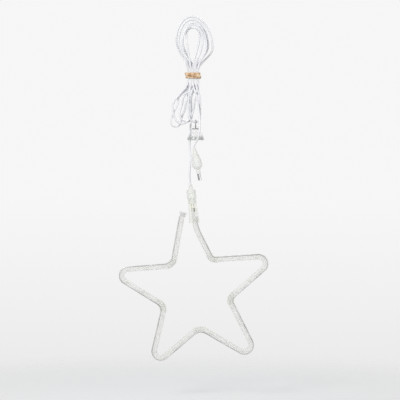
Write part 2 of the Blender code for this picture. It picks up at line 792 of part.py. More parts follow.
def add_plug():
    turned(
        "plug_strain_relief",
        ribbed_boot(PLUG_BOOT_LENGTH, 2.5 * MM, 4.3 * MM, 2),
        16,
        MILKY_PVC,
        plug_frame,
    )
    body = in_mm((
        (0.0, 9.0),
        (4.6, 9.0),
        (5.2, 9.6),
        (6.4, 14.5),
        (7.6, 20.0),
        (8.2, 24.0),
        (8.2, 28.0),
        (7.6, 30.0),
        (5.2, 32.2),
        (3.5, 34.0),
        (3.3, 40.0),
        (0.0, 40.0),
    ))
    turned("plug_body", body, 24, MILKY_PVC, plug_frame)
    barrel_top = PLUG_NECK_BOTTOM + PIECE_GAP
    barrel = [
        (2.75 * MM, barrel_top),
        (2.75 * MM, PLUG_TIP - 0.3 * MM),
        (2.6 * MM, PLUG_TIP),
        (2.25 * MM, PLUG_TIP),
        (2.25 * MM, barrel_top),
    ]
    insulator = [
        (2.0 * MM, barrel_top),
        (2.0 * MM, PLUG_TIP - 0.4 * MM),
        (1.6 * MM, PLUG_TIP - 0.4 * MM),
        (1.6 * MM, barrel_top),
    ]
    contact = [
        (1.35 * MM, barrel_top),
        (1.35 * MM, PLUG_TIP - 0.8 * MM),
        (1.05 * MM, PLUG_TIP - 0.8 * MM),
        (1.05 * MM, barrel_top),
    ]
    turned("plug_barrel", barrel, 16, NICKEL, plug_frame)
    turned("plug_insulator", insulator, 16, BLACK_PLASTIC, plug_frame)
    turned("plug_centre_contact", contact, 16, BRASS, plug_frame)


add_plug()


# Suction cup on its wire hook

def seat_on_front_fold():
    """Where the hook sits: over the lowest place of the front fold, just clear of the cord."""
    fold = bottom_fold(BOTTOM_FOLDS[0], TOP_ARCS[1], TOP_ARCS[0])
    lowest = Vector(min(fold, key=lambda point: point[2])) * MM
    for start, end in zip(hank_points, hank_points[1:]):
        middle = (start + end) / 2
        if min(start.x, end.x) <= lowest.x < max(start.x, end.x) and (middle - lowest).length < 6 * MM:
            lowest = start.lerp(end, (lowest.x - start.x) / (end.x - start.x))
    lowest.z += CORD_DIAMETER / 2 + HOOK_GAP
    return lowest


hook_place = seat_on_front_fold()
hook_frame = make_frame("cup_hook_axis", hook_place)
print("cup swing axis (mm):", [round(value / MM, 2) for value in hook_place])


def hook_route():
    """From the tip, over the cord, down the back and round the cup's neck."""
    bend = HOOK_BEND_RADIUS / MM
    crest = HOOK_WIRE_RADIUS / MM
    ring = HOOK_RING_RADIUS / MM
    depth = -HOOK_RING_DEPTH / MM
    points = [(0.0, -bend - 0.9, -6.6), (0.0, -bend - 0.2, -5.2)]
    for step in range(9):
        angle = math.pi * (1.0 - step / 8)
        points.append((0.0, bend * math.cos(angle), crest - bend + bend * math.sin(angle)))
    points += [(0.0, bend + 0.3, -5.0), (0.0, ring + 0.6, -7.6), (0.0, ring + 1.7, -10.2)]
    points += [(0.5, ring + 1.8, depth + 0.8), (1.9, ring + 1.4, depth)]
    for degrees, out in ((35, 0.9), (55, 0.35), (75, 0.0)):
        angle = math.radians(degrees)
        points.append(((ring + out) * math.sin(angle), (ring + out) * math.cos(angle), depth))
    for step in range(1, 15):
        angle = math.radians(75 + 270 * step / 14)
        points.append((ring * math.sin(angle), ring * math.cos(angle), depth))
    return points


def add_suction_cup():
    swept(
        "suction_cup_hook",
        smooth_route(hook_route(), 64),
        HOOK_WIRE_RADIUS,
        2,
        STEEL_WIRE,
        hook_frame,
    )
    profile = in_mm((
        (0.0, -4.8),
        (2.6, -4.7),
        (4.2, -4.0),
        (5.0, -2.8),
        (4.8, -1.7),
        (CUP_NECK_RADIUS / MM, -1.25),
        (CUP_NECK_RADIUS / MM, 1.3),
        (4.6, 1.9),
        (6.6, 2.8),
        (9.2, 5.0),
        (11.2, 8.2),
        (12.5, 12.4),
        (13.3, 16.4),
        (CUP_RIM_RADIUS / MM, 17.7),
        (13.5, 18.0),
        (12.7, 18.0),
        (12.2, 15.8),
        (11.1, 12.2),
        (9.6, 9.0),
        (7.4, 6.6),
        (4.2, 5.2),
        (0.0, 4.8),
    ))
    cup_place = (0.0, 0.0, -HOOK_RING_DEPTH)
    turned("suction_cup", profile, 32, CLEAR_PVC, hook_frame, cup_place)


add_suction_cup()

print("tube length (mm):", round(tube_length / MM, 1))
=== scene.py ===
# %% [markdown]
# # A star-shaped LED tube light, hung by its own folded cord
#
# The real thing is a clear plastic tube with a chain of tiny lamps in it. A thin wire along the
# outer side of the tube holds it in the shape of a five-pointed star. A milky connector joins the
# tube to a thin white cord, which is folded into a hank and held by an amber rubber band. The
# hank's other end carries a barrel plug, and a clear suction cup hangs in the hank on a wire hook.
#
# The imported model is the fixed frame. Everything below is placed in its coordinates, in metres,
# with +Z up and the star facing -Y, so nothing has to be fitted afterwards.

import json
import math

import bmesh
import bpy
import numpy as np
from mathutils import Matrix, Vector


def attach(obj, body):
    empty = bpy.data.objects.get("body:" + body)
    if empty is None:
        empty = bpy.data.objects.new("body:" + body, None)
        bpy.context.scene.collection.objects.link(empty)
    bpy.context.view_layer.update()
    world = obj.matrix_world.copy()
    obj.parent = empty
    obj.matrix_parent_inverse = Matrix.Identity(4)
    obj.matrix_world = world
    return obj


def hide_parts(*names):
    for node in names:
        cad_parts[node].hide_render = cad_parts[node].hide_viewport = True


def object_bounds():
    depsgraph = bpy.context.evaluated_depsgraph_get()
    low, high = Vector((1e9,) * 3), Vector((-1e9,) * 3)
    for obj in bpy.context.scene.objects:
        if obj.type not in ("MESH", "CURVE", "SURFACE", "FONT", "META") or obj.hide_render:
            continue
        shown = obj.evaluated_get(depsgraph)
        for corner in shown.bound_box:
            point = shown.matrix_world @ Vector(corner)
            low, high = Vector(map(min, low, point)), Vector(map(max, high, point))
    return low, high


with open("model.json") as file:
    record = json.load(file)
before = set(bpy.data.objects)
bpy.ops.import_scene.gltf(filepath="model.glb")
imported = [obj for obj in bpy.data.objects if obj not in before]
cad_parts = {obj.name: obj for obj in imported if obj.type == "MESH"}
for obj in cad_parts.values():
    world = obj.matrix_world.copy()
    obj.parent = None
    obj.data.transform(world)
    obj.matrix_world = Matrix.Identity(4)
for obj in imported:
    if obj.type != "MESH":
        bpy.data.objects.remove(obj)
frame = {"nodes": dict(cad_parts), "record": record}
MM = 0.001
FIXED = "star_and_cord"

cad_low, cad_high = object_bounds()
print("CAD box (mm):", [round(float(side) / MM, 1) for side in cad_high - cad_low])

# %% [markdown]
# ## Camera
#
# The photograph was taken straight on and from far away: the hank and the star show no
# perspective. A long lens at 2.4 m gives that flat view, where an orthographic camera would give
# it exactly but would make close views harder to set up. The frame is 640 mm wide at the star.

# %% Camera
VIEW_WIDTH = 0.640
VIEW_DISTANCE = 2.4
VIEW_CENTRE = Vector((0.0112, 0.0, -0.2736))


def add_object(name, data):
    """A new object in the scene."""
    made = bpy.data.objects.new(name, data)
    bpy.context.scene.collection.objects.link(made)
    return made


camera_data = bpy.data.cameras.new("long_lens")
camera_data.sensor_width = 36.0
camera_data.lens = camera_data.sensor_width * VIEW_DISTANCE / VIEW_WIDTH
camera = add_object("camera", camera_data)
camera.location = VIEW_CENTRE + Vector((0.0, -VIEW_DISTANCE, 0.0))
camera.rotation_euler = (math.radians(90.0), 0.0, 0.0)
bpy.context.scene.camera = camera
print("lens (mm):", round(camera_data.lens, 1))

# %% [markdown]
# ## The cord: one length from the star to the plug
#
# The cord is about two metres of limp white cable. Its middle is folded into a hank: five arcs
# over whatever holds it, four folds that hang below the rubber band. A hank could be drawn by
# hand as a spline, but then its length would be a guess and its strands would cut through each
# other. Here each strand has a place in the waist, a depth and a belly, so the route is a formula
# with a known length. All numbers in this part are millimetres until the points are scaled.

# %% Where each strand passes
CORD_RADIUS = 1.5 * MM
CORD_SPACING = 1.4 * MM
STRAND_PITCH = 4.1
STRAND_ROW = 2.2
WAIST_TOP = -66.0
HANK_END = -84.0
BELLY_HEIGHT = -24.0
LEAST_FOLD_RADIUS = 9.3
FINE_STEPS = 40

# left and right are the column and row in the waist; the other values are millimetres
TOP_ARCS = (
    dict(left=(-1, -1), right=(0, -1), belly=(-10.5, 10.5), depth=(-1.6, -1.6), crest=1.8, sag=0.0),
    dict(left=(-2, -1), right=(1, -1), belly=(-17.4, 15.4), depth=(-5.6, -5.4), crest=6.6, sag=-5.0),
    dict(left=(0, 1), right=(2, -1), belly=(-16.6, 21.6), depth=(2.2, -1.3), crest=10.0, sag=7.0),
    dict(left=(-1, 1), right=(1, 1), belly=(-23.0, 24.4), depth=(5.5, 4.4), crest=15.6, sag=6.0),
    dict(left=(-2, 1), right=(2, 1), belly=(-26.9, 31.5), depth=(9.6, 8.4), crest=20.5, sag=12.0),
)
# starts are the heights at which the left and the right strand leave the waist
BOTTOM_FOLDS = (
    dict(
        starts=(-83.0, -83.0),
        left=((-7.2, -7.0, -116.0), (-7.2, -7.0, -138.0)),
        right=((11.4, -7.0, -116.0), (11.4, -7.0, -142.0)),
        drop=9.0,
    ),
    dict(
        starts=(-83.0, -97.0),
        left=((-32.6, -2.2, -124.8),),
        right=((2.5, -2.2, -116.0),),
        drop=31.0,
    ),
    dict(
        starts=(-87.5, -84.5),
        left=((-16.6, 2.5, -114.0), (-21.5, 2.2, -136.0)),
        right=((-3.0, 2.2, -112.0), (-2.0, 2.2, -140.0)),
        drop=9.8,
    ),
    dict(
        starts=(-87.0, -84.5),
        left=((-23.5, 1.2, -113.0), (-35.2, 1.4, -148.5)),
        right=((-12.0, 6.5, -122.0), (-19.0, 7.6, -147.0)),
        drop=8.2,
    ),
)
print("strands in the waist:", 2 * len(TOP_ARCS))


# %% Bend one strand
def ease(share):
    return (1.0 - math.cos(math.pi * share)) / 2


def strand(places):
    """A strand's way along places that it passes upright; leaving the waist, depth changes first."""
    points = []
    pace = 2.0
    for start, end in zip(places, places[1:]):
        for step in range(FINE_STEPS):
            share = step / FINE_STEPS
            out = ease(share)
            away = ease(min(1.0, pace * share))
            points.append((
                start[0] + (end[0] - start[0]) * out,
                start[1] + (end[1] - start[1]) * away,
                start[2] + (end[2] - start[2]) * share,
            ))
        pace = 1.0
    return points


def waist_place(place, height):
    return (place[0] * STRAND_PITCH, place[1] * STRAND_ROW, height)


def bow(left, right, rise):
    """Half an oval between the ends of two strands; rise is negative for a hanging fold."""
    points = []
    for step in range(FINE_STEPS + 1):
        angle = math.pi * step / FINE_STEPS
        toward_right = (1.0 - math.cos(angle)) / 2
        place = [start + (end - start) * toward_right for start, end in zip(left, right)]
        place[2] += rise * math.sin(angle)
        points.append(tuple(place))
    return points


print("points in one bow:", FINE_STEPS + 1)


# %% Arcs, folds and the whole hank
def top_arc(arc):
    half = (arc["belly"][1] - arc["belly"][0]) / 2
    rise = min(arc["crest"] - BELLY_HEIGHT, half * half / LEAST_FOLD_RADIUS)
    shoulder = arc["crest"] - rise
    left = (arc["belly"][0], arc["depth"][0], shoulder + arc["sag"] / 2)
    right = (arc["belly"][1], arc["depth"][1], shoulder - arc["sag"] / 2)
    going_up = strand((waist_place(arc["left"], WAIST_TOP), left))
    coming_down = strand((waist_place(arc["right"], WAIST_TOP), right))
    return going_up + bow(left, right, rise) + coming_down[::-1]


def bottom_fold(fold, outer_arc, inner_arc):
    left_waist = waist_place(inner_arc["left"], fold["starts"][0])
    right_waist = waist_place(outer_arc["right"], fold["starts"][1])
    going_down = strand((right_waist, *fold["right"]))
    coming_up = strand((left_waist, *fold["left"]))
    return going_down + bow(fold["right"][-1], fold["left"][-1], -fold["drop"]) + coming_up[::-1]


def hank_route():
    points = [waist_place(TOP_ARCS[-1]["left"], HANK_END)]
    for number in range(len(TOP_ARCS) - 1, -1, -1):
        points += top_arc(TOP_ARCS[number])
        if number > 0:
            points += bottom_fold(BOTTOM_FOLDS[number - 1], TOP_ARCS[number], TOP_ARCS[number - 1])
    points.append(waist_place(TOP_ARCS[0]["right"], HANK_END))
    return [Vector(point) * MM for point in points]


def route_length(points):
    return sum((after - before).length for before, after in zip(points, points[1:]))


print("hank length (mm):", round(route_length(hank_route()) / MM, 1))

# %% [markdown]
# ## The two free stretches
#
# From the waist one end of the cord hangs down behind the hank to the star, and the other hangs
# in front to the plug. Both leave the waist upright and arrive along the axis of what they carry.
# A smooth curve through a few places does that; it is sampled evenly so that the tube has no
# long facets.

# %% Places along the free stretches
CORD_TO_STAR = (
    (-8.2, 2.2, -84.3), (-8.2, 2.2, -87.9), (-9.0, 4.3, -91.3), (-9.7, 7.3, -95.5),
    (-9.0, 9.6, -101.0), (-7.2, 10.8, -109.0), (-5.2, 11.2, -119.0),  # behind the folds
    (-4.1, 11.3, -133.0), (-3.9, 11.2, -147.0), (-4.0, 11.0, -160.0), (-4.7, 10.5, -172.0),
    (-5.4, 9.6, -183.0), (-4.7, 8.1, -195.0), (-4.1, 5.8, -207.0), (-4.9, 3.2, -220.0),
    (-5.4, 1.2, -231.0), (-4.98, 0.2, -241.0),
    (-4.4315, 0.0, -246.3), (-4.2314, 0.0, -248.2),  # into the connector
)
CORD_TO_PLUG = (
    (0.0, -2.2, -84.3), (0.0, -2.2, -87.9), (0.8, -4.2, -93.0), (2.6, -6.8, -98.5),
    (4.6, -8.4, -104.5), (6.6, -9.5, -112.0), (8.2, -10.6, -122.0),  # in front of the folds
    (9.5, -12.4, -133.0), (10.4, -15.4, -144.0), (10.7, -19.2, -154.0), (10.3, -22.2, -163.0),
    (9.1, -23.5, -171.0), (6.8, -23.2, -178.0), (3.9, -22.2, -183.7),
    (1.95, -21.2, -188.2), (2.148, -21.0, -191.705),  # into the plug
)
print("places on the way:", len(CORD_TO_STAR), len(CORD_TO_PLUG))


# %% The whole cord
def smooth_route(places, steps=16):
    """A smooth curve through the given places, in metres."""
    route = [Vector(place) * MM for place in places]
    ends = [route[0] * 2 - route[1]] + route + [route[-1] * 2 - route[-2]]
    fine = []
    for before, start, end, after in zip(ends, ends[1:], ends[2:], ends[3:]):
        for step in range(steps):
            share = step / steps
            square = share * share
            cube = square * share
            fine.append(
                start * (2 * cube - 3 * square + 1)
                + (end - before) / 2 * (cube - 2 * square + share)
                + end * (3 * square - 2 * cube)
                + (after - start) / 2 * (cube - square)
            )
    return fine + [route[-1]]


def run_along(points):
    """How far along a route each of its points is."""
    return np.cumsum([0.0, *((after - before).length for before, after in zip(points, points[1:]))])


def places_at(stops, run, points):
    """Places at the given distances along a route."""
    columns = [np.interp(stops, run, [point[axis] for point in points]) for axis in range(3)]
    return [Vector(place) for place in zip(*columns)]


def evenly(points, spacing):
    """The same route with points about one spacing apart."""
    run = run_along(points)
    count = max(2, round(run[-1] / spacing) + 1)
    return places_at(np.linspace(0.0, run[-1], count), run, points)


to_star = smooth_route(CORD_TO_STAR)
to_plug = smooth_route(CORD_TO_PLUG)
whole_cord = evenly(to_star[::-1] + hank_route() + to_plug, CORD_SPACING)
print("cord length (mm):", round(route_length(whole_cord) / MM, 1), "points:", len(whole_cord))

# %% [markdown]
# ## Finishes
#
# Each finish is a small node tree on one shader. Colours and gloss come from what the part is
# made of; a faint noise in colour and in the surface keeps the plastics from looking computed.
# A few helpers make that short: one starts a material, the others add the unevenness.

# %% Start a finish and add unevenness
TONE_RANGE = (0.35, 0.65)
WAVE_HEIGHT = 0.05 * MM


def start_finish(name, colour, roughness, metallic=0.0):
    material = bpy.data.materials.new(name)
    material.use_nodes = True
    shader = material.node_tree.nodes["Principled BSDF"]
    shader.inputs["Base Color"].default_value = (*colour, 1.0)
    shader.inputs["Roughness"].default_value = roughness
    shader.inputs["Metallic"].default_value = metallic
    return material, shader


def node(material, kind, **values):
    """A node with its inputs set by name; an underscore stands for a space."""
    made = material.node_tree.nodes.new(kind)
    for name, value in values.items():
        made.inputs[name.replace("_", " ")].default_value = value
    return made


def object_noise(material, scale, detail):
    """Noise in the piece's own coordinates, in features per metre."""
    coordinates = node(material, "ShaderNodeTexCoord")
    noise = node(material, "ShaderNodeTexNoise", Scale=scale, Detail=detail)
    material.node_tree.links.new(coordinates.outputs["Object"], noise.inputs["Vector"])
    return noise


def vary_colour(material, shader, darker, lighter, scale):
    """Base colour that wanders between two close tones."""
    noise = object_noise(material, scale, detail=3.0)
    ramp = node(material, "ShaderNodeValToRGB")
    for element, position, tone in zip(ramp.color_ramp.elements, TONE_RANGE, (darker, lighter)):
        element.position = position
        element.color = (*tone, 1.0)
    link = material.node_tree.links.new
    link(noise.outputs["Fac"], ramp.inputs["Fac"])
    link(ramp.outputs["Color"], shader.inputs["Base Color"])


def add_bump(material, shader, scale, height):
    """Slight waviness of the surface; height is in metres."""
    noise = object_noise(material, scale, detail=1.0)
    bump = node(material, "ShaderNodeBump", Strength=1.0, Distance=height)
    link = material.node_tree.links.new
    link(noise.outputs["Fac"], bump.inputs["Height"])
    link(bump.outputs["Normal"], shader.inputs["Normal"])


print("finish helpers ready")

# %% [markdown]
# ## White cord sheath
#
# The sheath is soft white PVC with a satin gloss. The waviness is as long as the cord is thick:
# anything finer would sparkle, because the cord is only two pixels wide in the picture.

# %% Cord finish
white_sheath, shader = start_finish("white_sheath", (0.80, 0.80, 0.82), roughness=0.36)
vary_colour(white_sheath, shader, (0.76, 0.76, 0.785), (0.84, 0.84, 0.855), scale=40.0)
add_bump(white_sheath, shader, scale=160.0, height=WAVE_HEIGHT)
shader.inputs["Coat Weight"].default_value = 0.3
shader.inputs["Coat Roughness"].default_value = 0.2
print("white_sheath ready")


# %% Make the cord
BEVEL_RESOLUTION = 4


def round_curve(name, radius, resolution, material):
    """A curve with a round section and capped ends, still without a spline."""
    curve = bpy.data.curves.new(name, "CURVE")
    curve.dimensions = "3D"
    curve.bevel_depth = radius
    curve.bevel_resolution = resolution
    curve.use_fill_caps = True
    curve.materials.append(material)
    return curve


def add_spline(curve, points):
    spline = curve.splines.new("POLY")
    spline.points.add(len(points) - 1)
    for spline_point, point in zip(spline.points, points):
        spline_point.co = (*point, 1.0)
    spline.use_smooth = True


def curve_piece(name, points, radius, material):
    """A piece with a round section along one line of points."""
    curve = round_curve(name, radius, BEVEL_RESOLUTION, material)
    add_spline(curve, points)
    return add_object(name, curve)


cord = curve_piece("folded_cord", whole_cord, CORD_RADIUS, white_sheath)
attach(cord, FIXED)
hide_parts("cord_to_star", "cord_hank", "cord_to_plug")
print("cord diameter (mm):", 2 * CORD_RADIUS / MM)

# %% [markdown]
# ## Shapes that are swept or turned
#
# Nearly everything else is either a tube along a line or a turned piece. A curve with a bevel
# can't be hollow, so the tube maker lays rings of vertices along the line itself, outside and
# inside. The spin tool would turn a profile, but it leaves doubled points on the axis, and merging
# them gives the faces a new order each time, so rings are laid here too. The profile's corners are
# rounded first, because sharp moulded edges don't catch the light.

# %% Directions along a line, and round sections
def across_frames(points, closed, facing):
    """Two directions across the line at each point; facing says where the first one looks."""
    places = np.array(points, float)
    if closed:
        along = np.roll(places, -1, axis=0) - np.roll(places, 1, axis=0)
    else:
        along = np.gradient(places, axis=0)
    along /= np.linalg.norm(along, axis=1)[:, None]
    side = np.broadcast_to(np.asarray(facing, float), places.shape)
    side = side - along * np.sum(along * side, axis=1)[:, None]
    side = side / np.linalg.norm(side, axis=1)[:, None]
    return places, side, np.cross(along, side)


def round_section(radius, sides, flat=1.0):
    """A section as pairs (along facing, across it); flat below 1 makes it an oval."""
    angles = [2 * math.pi * step / sides for step in range(sides)]
    return [(radius * flat * math.cos(angle), radius * math.sin(angle)) for angle in angles]


print("section helpers ready")


# %% Sweep a section along a line
def closed_mesh(name, verts, faces):
    """A mesh with all its faces looking outwards."""
    mesh = bpy.data.meshes.new(name)
    mesh.from_pydata([tuple(vert) for vert in verts], [], faces)
    shape = bmesh.new()
    shape.from_mesh(mesh)
    bmesh.ops.recalc_face_normals(shape, faces=shape.faces)
    shape.to_mesh(mesh)
    shape.free()
    return mesh


def swept_mesh(name, points, section, lining=None, closed=False, facing=(0.0, 1.0, 0.0), swell=1.0):
    """A section carried along points: hollow with a lining, otherwise solid with flat ends."""
    places, side, up = across_frames(points, closed, facing)
    count = len(places)
    sides = len(section)
    swell = np.broadcast_to(np.asarray(swell, float), (count,))[:, None, None]

    def skin(shape):
        out = np.array([pair[0] for pair in shape])[None, :, None]
        over = np.array([pair[1] for pair in shape])[None, :, None]
        return (places[:, None] + (out * side[:, None] + over * up[:, None]) * swell).reshape(-1, 3)

    verts = skin(section)
    skins = [0]
    if lining:
        skins.append(len(verts))
        verts = np.concatenate((verts, skin(lining)))
    faces = []
    for first in skins:
        for ring in range(count if closed else count - 1):
            here = first + ring * sides
            there = first + (ring + 1) % count * sides
            for step in range(sides):
                following = (step + 1) % sides
                faces.append((here + step, here + following, there + following, there + step))
    last = (count - 1) * sides
    if lining:
        for end in (0, last):
            for step in range(sides):
                following = (step + 1) % sides
                inside = end + skins[1]
                faces.append((end + step, end + following, inside + following, inside + step))
    elif not closed:
        faces.append(tuple(range(sides)))
        faces.append(tuple(range(last, last + sides)))
    return closed_mesh(name, verts, faces)


print("swept_mesh ready")

# %% Turn a profile about its axis
CORNER_REACH = 0.45


def soften(profile, radius, steps=3):
    """The profile with each corner rounded; points on the axis stay."""
    closed = profile[0][0] > 0.0
    count = len(profile)
    rounded = []
    for index, point in enumerate(profile):
        corner = Vector(point) * MM
        if not closed and index in (0, count - 1):
            rounded.append(corner)
            continue
        back = Vector(profile[index - 1]) * MM - corner
        ahead = Vector(profile[(index + 1) % count]) * MM - corner
        start = corner + back.normalized() * min(radius, back.length * CORNER_REACH)
        end = corner + ahead.normalized() * min(radius, ahead.length * CORNER_REACH)
        for step in range(steps + 1):
            share = step / steps
            rounded.append(start.lerp(corner, share).lerp(corner.lerp(end, share), share))
    return rounded, closed


def turned_mesh(name, profile, place, steps=64, radius=0.35 * MM):
    """A mesh turned about its own axis; the profile is radius and depth in millimetres."""
    outline, closed = soften(profile, radius)
    verts = []
    rings = []
    for out, depth in outline:
        count = steps if out > 0.0 else 1
        rings.append([len(verts) + step % count for step in range(steps)])
        for step in range(count):
            angle = 2 * math.pi * step / steps
            verts.append(place @ Vector((out * math.cos(angle), out * math.sin(angle), -depth)))
    if closed:
        rings.append(rings[0])
    faces = []
    for upper, lower in zip(rings, rings[1:]):
        for step in range(steps):
            after = (step + 1) % steps
            corners = (upper[step], upper[after], lower[after], lower[step])
            faces.append(tuple(dict.fromkeys(corners)))
    return closed_mesh(name, verts, faces)


print("turned_mesh ready")


# %% Put a piece in the scene
def mesh_piece(name, mesh, material):
    mesh.shade_smooth()
    mesh.materials.append(material)
    return add_object(name, mesh)


def place_at(location, lean=0.0):
    return Matrix.Translation(location) @ Matrix.Rotation(lean, 4, "Y")


def stands_for(piece, body, slot, *nodes):
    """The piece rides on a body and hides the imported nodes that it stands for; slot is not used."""
    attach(piece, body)
    if nodes:
        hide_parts(*nodes)


print("piece helpers ready")

# %% [markdown]
# ## Clear and milky plastics
#
# The tube, the sleeves, the cap and the cup are clear PVC. Real glass refraction would be slow and
# would hide the lamps behind noise, and thin plastic bends light very little. So the clear finish
# lets most of the light straight through and shows its colour where the wall is seen edge-on,
# as a longer way through the wall does. The milky plastic of the connector and the plug covers
# far more, and most where it is seen face-on, because light leaks out at its rounded edges.

# %% Clear and milky finishes
def see_through(material, shader, face_cover, edge_cover, blend=0.35):
    """How much the plastic covers face-on and edge-on."""
    facing = node(material, "ShaderNodeLayerWeight", Blend=blend)
    cover = node(material, "ShaderNodeMapRange", To_Min=face_cover, To_Max=edge_cover)
    link = material.node_tree.links.new
    link(facing.outputs["Facing"], cover.inputs["Value"])
    link(cover.outputs["Result"], shader.inputs["Alpha"])
    return cover


def clear_finish(name, darker, lighter, roughness, face_cover, edge_cover):
    """See-through plastic between two close tones; the covers are shares of opacity."""
    material, shader = start_finish(name, lighter, roughness)
    vary_colour(material, shader, darker, lighter, scale=30.0)
    add_bump(material, shader, scale=120.0, height=WAVE_HEIGHT)
    cover = see_through(material, shader, face_cover, edge_cover)
    return material, shader, cover


clear_pvc, _, _ = clear_finish(
    "clear_tube_plastic",
    (0.66, 0.68, 0.61),
    (0.76, 0.73, 0.72),
    roughness=0.2,
    face_cover=0.10,
    edge_cover=0.24,
)
sleeve_pvc, _, _ = clear_finish(
    "clear_sleeve_plastic",
    (0.78, 0.80, 0.64),
    (0.84, 0.85, 0.73),
    roughness=0.25,
    face_cover=0.06,
    edge_cover=0.18,
)
cap_pvc, _, _ = clear_finish(
    "thick_cap_plastic",
    (0.68, 0.70, 0.65),
    (0.76, 0.76, 0.73),
    roughness=0.3,
    face_cover=0.15,
    edge_cover=0.36,
)
milky_pvc, shader = start_finish("milky_plastic", (0.86, 0.87, 0.83), roughness=0.6)
vary_colour(milky_pvc, shader, (0.83, 0.85, 0.79), (0.88, 0.88, 0.85), scale=50.0)
add_bump(milky_pvc, shader, scale=100.0, height=WAVE_HEIGHT)
see_through(milky_pvc, shader, face_cover=0.62, edge_cover=0.22, blend=0.5)
shader.inputs["Specular IOR Level"].default_value = 0.3
print("clear and milky finishes ready")

# %% [markdown]
# ## Metals, lamps and dark plastics
#
# The star's wire is galvanised steel, dull and pale. The cup's hook is darker, the plug's barrel is
# nickel, the pins are brass, and the leads and the lamps' legs are tinned. Full metals would mirror
# the room and look black or white at this size, so the dull ones are only partly metallic. Each
# tone wanders a little, because wire that has been bent and handled never has one even colour.

# %% Metal and small finishes
bright_wire, shader = start_finish("galvanised_wire", (0.48, 0.48, 0.47), roughness=0.5, metallic=0.8)
vary_colour(bright_wire, shader, (0.41, 0.41, 0.40), (0.57, 0.57, 0.56), scale=60.0)
dark_wire, shader = start_finish("dark_wire", (0.26, 0.26, 0.26), roughness=0.34, metallic=0.9)
vary_colour(dark_wire, shader, (0.18, 0.18, 0.18), (0.36, 0.36, 0.36), scale=150.0)
tinned, shader = start_finish("tinned_lead", (0.86, 0.85, 0.83), roughness=0.6, metallic=0.2)
vary_colour(tinned, shader, (0.82, 0.80, 0.77), (0.90, 0.89, 0.88), scale=60.0)
brass, shader = start_finish("plain_brass", (0.68, 0.65, 0.45), roughness=0.45, metallic=0.5)
vary_colour(brass, shader, (0.60, 0.58, 0.38), (0.76, 0.73, 0.56), scale=150.0)
nickel, shader = start_finish("dark_nickel", (0.42, 0.42, 0.43), roughness=0.25, metallic=1.0)
vary_colour(nickel, shader, (0.34, 0.34, 0.35), (0.50, 0.50, 0.51), scale=150.0)
lamp_lens, shader = start_finish("lamp_lens", (0.84, 0.83, 0.78), roughness=0.3)
vary_colour(lamp_lens, shader, (0.80, 0.79, 0.72), (0.87, 0.86, 0.82), scale=200.0)
dark_shrink, shader = start_finish("dark_shrink", (0.27, 0.28, 0.19), roughness=0.5)
add_bump(dark_shrink, shader, scale=600.0, height=WAVE_HEIGHT)
black_plastic, shader = start_finish("black_plastic", (0.04, 0.04, 0.04), roughness=0.4)
add_bump(black_plastic, shader, scale=600.0, height=WAVE_HEIGHT)
print("metals ready")

# %% [markdown]
# ## The star's outline
#
# The wire's path is one outline of straight runs and arcs, open only at the top, where the
# tube's two ends are. Everything in the star is this one path moved inwards by a fixed distance:
# the tube, its two leads and the lamps. So the pieces stay side by side round every bend.

# %% Sizes of the star
STAR_CENTRE = Vector((5.8, 0.0, -418.6)) * MM
TUBE_RADIUS = 3.5 * MM
TUBE_WALL = 0.9 * MM
WIRE_RADIUS = 1.0 * MM
PIECE_GAP = 0.3 * MM
WIRE_TO_TUBE = TUBE_RADIUS + WIRE_RADIUS + PIECE_GAP
FINE_ARC_STEP = math.radians(4.0)
RIGHT_LEG_LEAN = math.radians(26.6)
RIGHT_LEG_BEND = 55.0
CONNECTOR_EXIT = Vector((-4.2, 0.0, -248.5)) * MM
CONNECTOR_LEAN = math.radians(6.0)
TUBE_END_DEPTH = 44.6 * MM

# name, place across and up from the star's centre, and bend radius, in millimetres
STAR_CORNERS = (
    ("left_leg_top", -26.1, 125.0, 0.0),
    ("upper_left_inner", -40.8, 43.2, 13.0),
    ("left_point", -152.8, 34.4, 13.8),
    ("left_inner", -55.2, -26.1, 11.8),
    ("lower_left_point", -81.0, -135.7, 14.2),
    ("bottom_inner", 4.9, -62.7, 15.8),
    ("lower_right_point", 111.0, -123.7, 14.6),
    ("right_inner", 56.0, -13.8, 7.6),
    ("right_point", 141.3, 60.5, 14.6),
    ("upper_right_inner", 26.2, 53.1, 5.6),
)
print("corners of the star:", len(STAR_CORNERS))


# %% Round the corners of a route
def left_of(direction):
    return Vector((-direction.y, direction.x))


def meeting_point(point_a, along_a, point_b, along_b):
    across = along_a.x * along_b.y - along_a.y * along_b.x
    step = point_b - point_a
    return point_a + along_a * ((step.x * along_b.y - step.y * along_b.x) / across)


def rounded_route(corners, radii):
    """Points and directions along straight runs joined by arcs."""
    route = [(corners[0], (corners[1] - corners[0]).normalized())]
    for before, corner, after, radius in zip(corners, corners[1:], corners[2:], radii[1:]):
        arrive = (corner - before).normalized()
        leave = (after - corner).normalized()
        turn = math.atan2(arrive.x * leave.y - arrive.y * leave.x, arrive.dot(leave))
        start = corner - arrive * radius * math.tan(abs(turn) / 2)
        centre = start + left_of(arrive) * math.copysign(radius, turn)
        steps = max(2, math.ceil(abs(turn) / FINE_ARC_STEP))
        for index in range(steps + 1):
            swing = Matrix.Rotation(turn * index / steps, 2)
            route.append((centre + swing @ (start - centre), swing @ arrive))
    route.append((corners[-1], (corners[-1] - corners[-2]).normalized()))
    return route


print("rounded_route ready")

